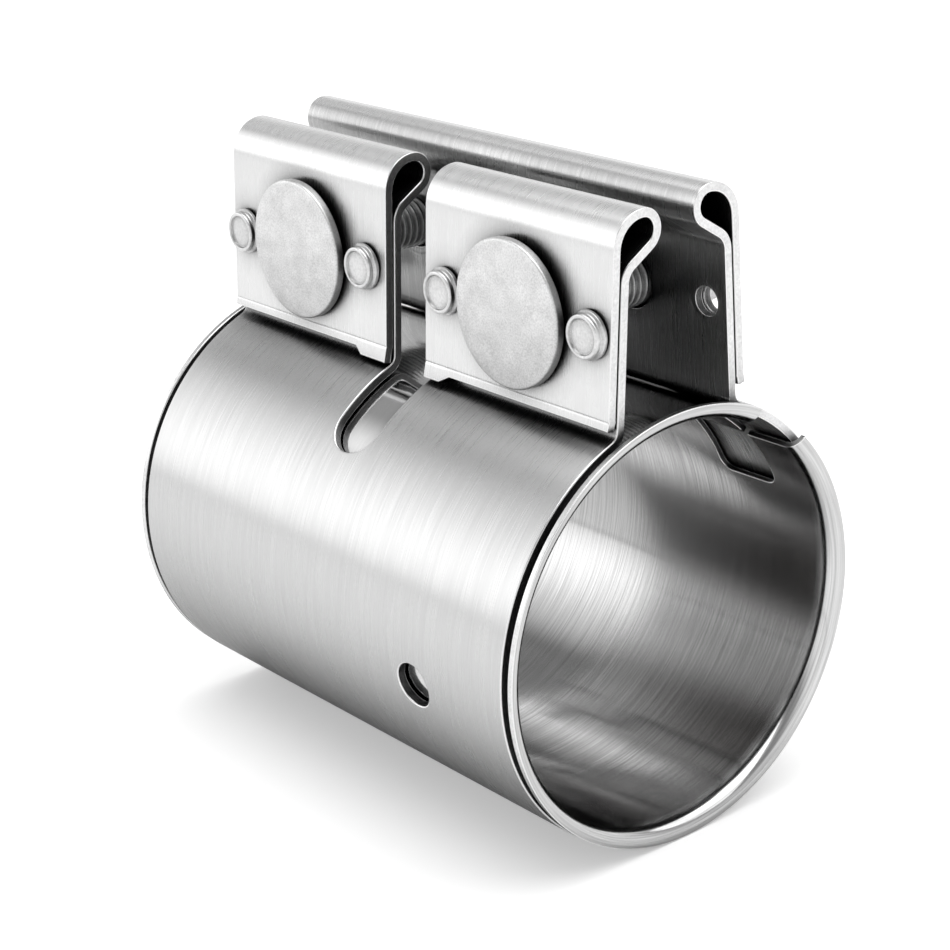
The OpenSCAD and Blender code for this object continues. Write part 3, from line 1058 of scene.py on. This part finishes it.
    def emboss(self, u: Array, v: Array) -> Array:
        """Presses a low ring round each hole of the back lug's inner layer, towards the gap, and a
        fine crease above each flap's lip: bell curves of the distance from the ring's radius and
        from the crease's middle.

        Args:
            u: Places across the sheet.
            v: Places along it.

        Returns:
            The height at each.
        """
        f = self.fasteners
        centre = self._bolt_v(Side.HIGH, self.INNER)
        height = np.zeros_like(u)
        rings = [(x, self.spare_hole_r, *self.rivet_ring) for x in f.rivets()]
        rings += [(x, self.bolt_hole_r, *self.bolt_ring) for x in f.bolts()]
        for x, radius, off, width in rings:
            away = np.hypot(u - x, v - centre) - radius - off
            height -= self.ring_rise * np.exp(-(away / width) ** 2)
        for side in Side:
            middle = (self._start(side, self.CREASE) + self._start(side, self.LIP)) / 2
            height += self.crease_depth * np.exp(-((v - middle) / self.crease_width) ** 2)
        return height

    def under(self, u: Array, v: Array) -> Ints:
        """Gives the flaps' outer faces, from the tops of the loops down, their own material."""
        low, high = (self._start(side, self.SHOULDER) for side in Side)
        return np.where((v < low) | (v > high), Layer.FLAP.value, Layer.BOTTOM.value)

    def place(self, u: Array, v: Array, w: Array) -> Array:
        """Carries flat points round the ring and up the lugs: middle line plus w along its outer
        normal.

        Args:
            u: Places across the sheet.
            v: Places along it.
            w: Heights above the middle surface.

        Returns:
            Their places on the object.
        """
        y, z, h = np.empty_like(v), np.empty_like(v), np.empty_like(v)
        far = np.abs(v)
        ring = far <= self.ring_len
        angle = math.pi - far / self.ring_r
        y[ring], z[ring] = self.ring_r * np.sin(angle[ring]), self.ring_r * np.cos(angle[ring])
        h[ring] = math.pi - angle[ring]
        for side in Side:
            on = ~ring & (v * side.value > 0)
            y[on], z[on], h[on] = self.paths[side].at(far[on] - self.ring_len)
        y, z = y + w * np.sin(h), z - w * np.cos(h)
        return np.stack([u, np.where(v < 0, -y, y), z], 1)


@dataclass
class InnerSleeve(Sheet):
    """The sleeve: one rolled sheet with a flared lip at each end, an open joint, tongues and
    grooves."""

    thickness: float = 1.0
    mid_r: float = 31.8
    half_bore: float = 44.6
    flare_r: float = 2.1
    start: float = 45.3
    end: float = 386.3
    tongue_x: float = 31.5
    tongue_half: float = 5.3
    tongue_end: float = 404.3
    groove_half: float = 5.7
    groove_end: float = 67.3
    corner_r: float = 2.0
    collar: float = 1.4
    cell: float = 1.15
    bend_step: float = 9.0

    def _at(self, degrees: float) -> float:
        """The layout's v at an angle from the top."""
        return self.mid_r * math.radians(degrees)

    def cutouts(self) -> list[Cutout]:
        """Cuts the two grooves.

        Returns:
            The grooves, open at the joint.
        """
        inside, end = self.groove_half - self.corner_r, self._at(self.groove_end) - self.corner_r
        return [Cutout((x - inside, x + inside), (-BEYOND, end), self.corner_r, self.collar)
                for x in (-self.tongue_x, self.tongue_x)]

    def lines(self) -> tuple[Array, Array]:
        """Lays the lines: about 1.1 mm apart, closer in the flares, and at the tongues' and
        collars' edges.

        Returns:
            The lines along u and along v.
        """
        tip = self.half_bore + self.flare_r * math.pi / 2
        bend = self.flare_r * math.radians(self.bend_step)
        marks = {-self.half_bore: self.cell, self.half_bore: bend, -tip: bend, tip: bend}
        for x in (-self.tongue_x, self.tongue_x):
            for reach in (self.tongue_half, self.groove_half + self.collar):
                marks[x - reach] = marks[x + reach] = self.cell
        vs = [self._at(self.start), round(self._at(self.groove_end) + self.collar, DECIMALS),
              self._at(self.end), self._at(self.tongue_end)]
        return divide(sorted(marks.items())), divide([(v, self.cell) for v in vs])

    def keep(self, u: Array, v: Array) -> NDArray[np.bool_]:
        """Leaves out what lies past the joint's edge beside the tongues."""
        beside = np.abs(np.abs(u) - self.tongue_x) > self.tongue_half
        return ~(beside & (v > self._at(self.end)))

    def place(self, u: Array, v: Array, w: Array) -> Array:
        """Rolls the sheet: radius and x follow the flare's quarter circle past the bore, and v goes
        round.

        Args:
            u: Places across the sheet.
            v: Places along it.
            w: Heights above the middle surface.

        Returns:
            Their places on the object.
        """
        past = np.maximum(np.abs(u) - self.half_bore, 0.0) / self.flare_r
        x = np.sign(u) * (np.minimum(np.abs(u), self.half_bore) + (self.flare_r - w) * np.sin(past))
        radius = self.mid_r + self.flare_r - (self.flare_r - w) * np.cos(past)
        angle = v / self.mid_r
        return np.stack([x, radius * np.sin(angle), radius * np.cos(angle)], 1)


@dataclass
class TurnedPart(ABC):
    """A piece made of rings about an axis along Y."""

    x: float
    z: float
    columns: int = 96

    @abstractmethod
    def rows(self) -> Array:
        """Gives the rings as (rows, columns, 3), the last column the same as the first."""

    @property
    def angles(self) -> Array:
        """The angles of all columns about the axis."""
        return np.linspace(0, 2 * math.pi, self.columns + 1)

    def rings(self, r: Array, y: Array) -> Array:
        """Gives rings of radius r at y: for each ring one number, or one for each column."""
        a = self.angles
        return np.stack([self.x + r * np.cos(a), y + 0 * a, self.z + r * np.sin(a)], -1)

    def turned(self, profile: Array) -> Array:
        """Turns a profile of (radius, y) into plain round rings."""
        return self.rings(profile[:, :1], profile[:, 1:])

    def helix(self, y0: float, y1: float, root: float, crest: float, pitch: float) -> Array:
        """Gives rings that follow a thread: along a ring y rises by one pitch, and is held within
        the ends.

        The radius is the crest's less the depth times a triangle wave of y less its rise, cut off
        by an eighth at both sides, and the depth fades to nothing over the last pitch at each end.

        Args:
            y0: Where the thread starts.
            y1: Where it ends.
            root: Radius at the thread's bottom: the larger one in a nut.
            crest: Radius at its top.
            pitch: Distance from crest to crest.

        Returns:
            The rings.
        """
        steps, flat = 8, 0.125
        part = self.angles / (2 * math.pi)
        start = np.arange(y0 - pitch, y1 + pitch / steps, pitch / steps)[:, None]
        y = np.clip(start + pitch * part, y0, y1)
        wave = np.clip(np.abs((y / pitch - part) % 1.0 - 0.5) * 2 * (1 + 2 * flat) - flat, 0, 1)
        fade = np.clip(np.minimum(y - y0, y1 - y) / pitch, 0, 1)
        return self.rings(crest - (crest - root) * wave * fade, y)


@dataclass
class CoachBolt(TurnedPart):
    """A bolt with a wide crowned head without a drive, a square neck and a threaded shank."""

    head_y: float = 13.281
    head_r: float = 11.0
    rim: float = 1.5
    rim_round: float = 0.42
    foot_round: float = 0.3
    crown: float = 0.6
    crown_power: float = 2.4
    neck_half: float = 4.0
    neck_round: float = 1.32
    neck_len: float = 3.9
    neck_taper: float = 0.3
    shank_r: float = 3.95
    root_r: float = 3.3
    length: float = 40.0
    pitch: float = 1.25
    point: float = 1.0

    def rows(self) -> Array:
        """Head from its crown to its underside, square neck, thread and pointed end.

        The crown's height falls off from the axis with a power of the radius. The neck's radius is
        the square's, half its width / max(|cos|, |sin|), held at the rounded corners.

        Returns:
            The rings.
        """
        under, shoulder = -self.head_y, self.head_r - 0.5
        top = under - self.rim
        reach = np.linspace(0, shoulder, 20)
        fall = (reach / self.head_r) ** self.crown_power
        dome = np.stack([reach, top - self.crown * (1 - fall)], 1)
        edge = fillet([(shoulder, float(dome[-1, 1]), 0), (self.head_r, top + 0.05, self.rim_round),
                       (self.head_r, under, self.foot_round), (self.neck_half * 1.5, under, 0)], 6)
        across = np.maximum(np.abs(np.cos(self.angles)), np.abs(np.sin(self.angles)))
        square = np.minimum(self.neck_half / across, self.neck_half * self.neck_round)
        y0, y1 = under + self.neck_len, under + self.length
        neck = self.rings(self.shank_r + (square - self.shank_r) * np.array([[1.0], [1.0], [0.0]]),
                          np.array([[under], [y0 - self.neck_taper], [y0]]))
        thread = self.helix(y0, y1 - self.point, self.root_r, self.shank_r, self.pitch)
        end = np.array([[self.shank_r, y1 - self.point], [self.shank_r - self.point, y1], [0, y1]])
        head = [self.turned(dome), self.turned(edge)[1:]]
        return np.concatenate([*head, neck, thread, self.turned(end)])


@dataclass
class Rivet(TurnedPart):
    """A rivet with a round head, a raised edge round a shallow dish, a waist above its foot, and a
    closed end in the gap."""

    face_y: float = 12.84
    head_r: float = 3.6
    head_h: float = 1.75
    dish_r: float = 2.55
    dish_h: float = 0.34
    waist: float = 0.42
    shank_r: float = 2.0
    tail_r: float = 3.0
    tail_h: float = 0.8
    tail_y: float = 9.44
    columns: int = 64

    def rows(self) -> Array:
        """Dish, raised edge, waist and foot, shank, and closed end, as one profile with its corners
        rounded.

        Returns:
            The rings.
        """
        foot, tail = -self.face_y, -self.tail_y
        face, end = foot - self.head_h, tail + self.tail_h
        floor, edge = face + self.dish_h, self.head_r - self.waist
        return self.turned(fillet([
            (0, floor - 0.07, 0), (self.dish_r * 0.6, floor - 0.06, 1.5),
            (self.dish_r - 0.12, floor, 0.14), (self.dish_r + 0.14, face, 0.26),
            (edge + 0.12, face, 0.34), (edge, face + 0.85, 0.3),
            (self.head_r, face + 1.2, 0.14), (self.head_r - 0.04, foot, 0.06),
            (self.shank_r, foot, 0), (self.shank_r, tail, 0),
            (self.tail_r, tail, 0.25), (self.tail_r - 0.1, end, 0.35),
            (self.tail_r * 0.5, end, 0.2), (0, end - 0.15, 0)]))


@dataclass
class Washer(TurnedPart):
    """A flat washer with softened edges, captive on its nut."""

    y0: float = 13.228
    thick: float = 1.8
    outer_r: float = 10.0
    inner_r: float = 4.25

    def rows(self) -> Array:
        """A ring of rectangular section with rounded corners, closed on itself.

        Returns:
            The rings.
        """
        y1, r0, r1 = self.y0 + self.thick, self.inner_r, self.outer_r
        middle = (r0, (self.y0 + y1) / 2, 0)
        return self.turned(fillet([middle, (r0, self.y0, 0.15), (r1, self.y0, 0.25), (r1, y1, 0.35),
                                   (r0, y1, 0.25), middle]))


@dataclass
class Nut(TurnedPart):
    """A hexagon nut with 30 degree chamfers and an inner thread."""

    y0: float = 15.078
    flats: float = 13.0
    height: float = 6.8
    minor_r: float = 4.0
    major_r: float = 4.35
    pitch: float = 1.25
    mouth: float = 0.5
    mouth_r: float = 4.7

    def rows(self) -> Array:
        """Hexagon cut by a cone at both ends, with countersunk holes and a thread between them.

        The outer radius is the smaller of the hexagon's, flats / 2 / cos(angle from the flat's
        middle), and the cone's, which grows by tan 60 degrees from just inside the flats at the end
        face.

        Returns:
            The rings.
        """
        sixth, half = math.pi / 3, self.flats / 2
        hexagon = half / np.cos((self.angles + sixth / 2) % sixth - sixth / 2)
        y0, y1 = self.y0, self.y0 + self.height
        near = np.linspace(0, 1, 9) * (hexagon.max() - half) * 0.62
        ys = np.concatenate([y0 + near, y1 - near[::-1]])[:, None]
        cone = half - 0.1 + np.minimum(ys - y0, y1 - ys) * math.tan(sixth)
        outer = self.rings(np.minimum(hexagon, cone), ys)
        low, high = y0 + self.mouth, y1 - self.mouth
        bore = self.helix(low, high, self.major_r, self.minor_r, self.pitch)[::-1]
        top = self.turned(np.array([[self.mouth_r, y1], [self.minor_r, high]]))
        bottom = self.turned(np.array([[self.minor_r, low], [self.mouth_r, y0]]))
        return np.concatenate([outer, top, bore, bottom, outer[:1]])


# ---------------------------------------------------------------- the stage


def link(name: str, data: bpy.types.ID) -> bpy.types.Object:
    """Makes an object and links it to the scene.

    Args:
        name: Its name.
        data: Its mesh, light or camera.

    Returns:
        The object.
    """
    made = bpy.data.objects.new(name, data)
    bpy.context.scene.collection.objects.link(made)
    return made


@dataclass(frozen=True)
class Lamp:
    """An area lamp: its place, size and power, and what it points at."""

    name: str
    place: tuple[float, float, float]
    size: tuple[float, float]
    power: float
    target: tuple[float, float, float] = (0.0, 0.0, 0.01)

    def make(self) -> None:
        """Makes the lamp, turned towards its target."""
        light = bpy.data.lights.new(self.name, "AREA")
        light.shape, light.energy = "RECTANGLE", self.power
        light.size, light.size_y = self.size
        lamp = link(self.name, light)
        lamp.location = self.place
        way = Vector(self.target) - Vector(self.place)
        lamp.rotation_euler = way.to_track_quat("-Z", "Y").to_euler()


@dataclass
class Studio:
    """Camera, white floor, lamps and world."""

    azimuth: float = 51.426
    elevation: float = 21.790
    roll: float = -2.2036
    distance: float = 0.369265
    shift_right: float = -0.004188
    shift_up: float = 0.003171
    focal_px: float = 2304.95
    centre_px: tuple[float, float] = (453.755, 522.249)
    frame_px: float = 950.0
    sensor: float = 36.0
    floor_z: float = -0.034
    floor_reach: float = 6.0
    walls: tuple[tuple[float, float], ...] = (
        (0.0, 0.95), (1.0, 0.25), (0.25, 1.0), (0.42, 0.75), (0.58, 0.34), (0.75, 0.24))
    window: tuple[float, float, float] = (-0.726, -0.57, 0.37)
    window_edge: float = 0.86
    window_core: float = 0.98
    window_level: float = 0.63
    lamp: Lamp = Lamp("key_above", (0.1, 0.12, 0.8), (1.0, 1.6), 6.3)

    def camera(self) -> None:
        """Sets the fitted camera: back points away from the object, and right and up are turned by
        the roll."""
        az, el, roll = (math.radians(v) for v in (self.azimuth, self.elevation, self.roll))
        back = Vector((math.sin(az) * math.cos(el), -math.cos(az) * math.cos(el), math.sin(el)))
        level = Vector((math.cos(az), math.sin(az), 0.0))
        rise = back.cross(level)
        right = math.cos(roll) * level + math.sin(roll) * rise
        up = -math.sin(roll) * level + math.cos(roll) * rise
        lens = bpy.data.cameras.new("camera")
        lens.sensor_width = self.sensor
        lens.lens = self.focal_px / self.frame_px * self.sensor
        lens.shift_x = 0.5 - self.centre_px[0] / self.frame_px
        lens.shift_y = self.centre_px[1] / self.frame_px - 0.5
        lens.clip_start = 0.01
        camera = link("camera", lens)
        place = self.distance * back + self.shift_right * right + self.shift_up * up
        axes = Matrix((right, up, back)).transposed().to_4x4()
        camera.matrix_world = Matrix.Translation(place) @ axes
        bpy.context.scene.camera = camera

    def floor(self) -> None:
        """Lays the paper, one flat square that reaches far past the camera's view."""
        mesh = bpy.data.meshes.new("floor")
        corners = [(x * self.floor_reach, y * self.floor_reach, self.floor_z)
                   for x, y in ((-1, -1), (1, -1), (1, 1), (-1, 1))]
        mesh.from_pydata(corners, [], [(0, 1, 2, 3)])
        mesh.materials.append(PaleFloor().make())
        link("floor", mesh)

    def world(self) -> None:
        """Sets the studio's walls: white round the object, a window on one side and a dim ceiling.

        The brightness follows the direction's height by a ramp, and the window adds a soft spot by
        the cosine to its middle. The camera sees plain white.
        """
        world = bpy.context.scene.world = bpy.data.worlds.new("studio")
        tree = blank_tree(world)
        seen = add_node(tree, "ShaderNodeLightPath").outputs["Is Camera Ray"]
        way = add_node(tree, "ShaderNodeTexCoord").outputs["Generated"]
        height = add_node(tree, "ShaderNodeSeparateXYZ", values={0: way}).outputs[2]
        walls = add_node(tree, "ShaderNodeValToRGB", values={0: height})
        stops = walls.color_ramp.elements
        made = [*stops] + [stops.new(0.5) for _ in self.walls[2:]]
        for stop, (at, grey) in zip(made, self.walls):
            stop.position, stop.color = at, (grey, grey, grey, 1.0)
        near = add_node(tree, "ShaderNodeVectorMath", {"operation": "DOT_PRODUCT"},
                        {0: way, 1: Vector(self.window).normalized()}).outputs["Value"]
        spot = ramp(tree, near, self.window_edge, self.window_core, 0.0, self.window_level,
                    kind=SMOOTH)
        level = calculate(tree, "ADD", walls.outputs[0], spot)
        white = linear(WHITE)
        lit, plain = (add_node(tree, "ShaderNodeBackground", values={0: white, 1: strength})
                      for strength in (level, 1.0))
        mixed = add_node(tree, "ShaderNodeMixShader",
                         values={0: seen, 1: lit.outputs[0], 2: plain.outputs[0]})
        add_node(tree, "ShaderNodeOutputWorld", values={0: mixed.outputs[0]})

    def make(self) -> None:
        """Sets up the whole studio."""
        bpy.context.scene.view_settings.view_transform = "Standard"
        for part in (self.camera, self.floor, self.world, self.lamp.make):
            part()


def fit(piece: bpy.types.Object, node: str, body: str) -> None:
    """Puts a finished piece in the place of its node.

    Args:
        piece: The piece.
        node: The node that it stands for.
        body: The body that it rides on.
    """
    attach(piece, body)
    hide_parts(node)
    LOG.info("%s on %s: %d faces", piece.name, body, len(piece.data.polygons))


@dataclass
class Connector:
    """The whole connector: where its fasteners sit, and its finishes in the order in which make
    names them."""

    fasteners: Fasteners = field(default_factory=Fasteners)
    # Each finish darkens its colour in its crevices as painted shade, by the colour, reach and
    # powers it is given.
    finishes: tuple[Metal, ...] = (
        BrushedStainless(),
        BrushedStainless(name="satin_stainless_flap", colour="#F4F4F4", dark="#EEEEEE",
                         anisotropy=0.5, line_length=6.0, line_depth=0.028, painted_shade="#141415",
                         shade_reach=3.2, shade_powers=(1.2, 1.7)),
        # The band's inner faces: strong painted shade, eased towards the top and the low end.
        BrushedStainless(name="shaded_stainless_inside", colour="#F2F2F2", dark="#D8D8D8",
                         line_depth=0.016, painted_shade="#0C0C0D", shade_reach=20.0,
                         shade_powers=(2.3, 1.0), shade_eased=0.5),
        # The bore: painted shade and dark reflections in bands, deepening towards the flare.
        BrushedStainless(name="brushed_stainless_bore", colour="#F4F4F4", dark="#B4B4B4",
                         roughness=0.12, spread=0.06, anisotropy=0.6, line_width=0.24,
                         line_length=15.0, streak_width=0.6, line_depth=0.003, painted_shade="#101011",
                         shade_reach=14.0, shade_powers=(1.4, 1.0), bore_shade="#7C7A79"),
        BrushedStainless(name="bright_rolled_stainless", colour="#F8F8F8", dark="#ECECEC",
                         roughness=0.07, spread=0.04, line_depth=0.001, painted_shade="#141415",
                         shade_reach=2.4, shade_powers=(0.8, 0.8)),
        GrainySteel(name="sheared_stainless_edge", dark="#DADADA", roughness=0.3, grain=0.5,
                    depth=0.004, shade_reach=18.0, shade_powers=(1.6, 3.0)),
        GrainySteel(name="rolled_over_burr", colour=WHITE, dark="#F0F0F0", roughness=0.22,
                    spread=0.04, depth=0.001, shade_reach=2.5, shade_powers=(0.8, 0.8)),
        # Bolts, washers and nuts, with painted shade towards their low side.
        GrainySteel(low_shade="#E4E4E4"),
        GrainySteel(name="pressed_rivet_steel", colour="#F4F4F4", dark="#D6D6D6", roughness=0.28,
                    spread=0.06, grain=0.4, depth=0.004, shade_reach=2.4, shade_powers=(2.2, 0.8)),
    )

    def make(self) -> None:
        """Makes the two sheets, and then each side's bolt, washer, nut and rivets."""
        made = (finish.make() for finish in self.finishes)
        band, flap, shaded_inside, bore, rolled, cut, burr, zinc, pressed = made
        for name, node, sheet, outside, inside, slot in (
            ("folded_band", "clamp_band", ClampBand(self.fasteners), band, shaded_inside, "band_steel"),
            ("rolled_sleeve", "inner_sleeve", InnerSleeve(), rolled, bore, "sleeve_steel"),
        ):
            points, faces, kinds, layout = sheet.build()
            skin = [outside, cut, inside, flap, burr]
            fit(make_piece(name, points, faces, skin, kinds, layout), node, "connector")
        for word, sign in (("left", -1), ("right", 1)):
            x, z = sign * self.fasteners.bolt_x, self.fasteners.bolt_z
            for name, node, body, part in (
                (f"coach_bolt_{word}", f"bolt_{word}", "connector", CoachBolt(x, z)),
                (f"captive_washer_{word}", f"washer_{word}", f"washer_{word}", Washer(x, z)),
                (f"hexagon_nut_{word}", f"nut_{word}", f"nut_{word}", Nut(x, z)),
            ):
                fit(make_piece(name, *closed(part.rows()), [zinc]), node, body)
            for place, way in (("outer", sign), ("inner", -sign)):
                rivet = Rivet(x + way * self.fasteners.rivet_offset, z)
                piece = make_piece(f"dished_rivet_{word}_{place}", *closed(rivet.rows()), [pressed])
                fit(piece, f"rivet_{word}_{place}", "connector")


def main() -> None:
    """Builds the studio and the connector."""
    logging.basicConfig(level=logging.INFO, format="%(name)s: %(message)s")
    Studio().make()
    Connector().make()


if __name__ == "__main__":
    main()
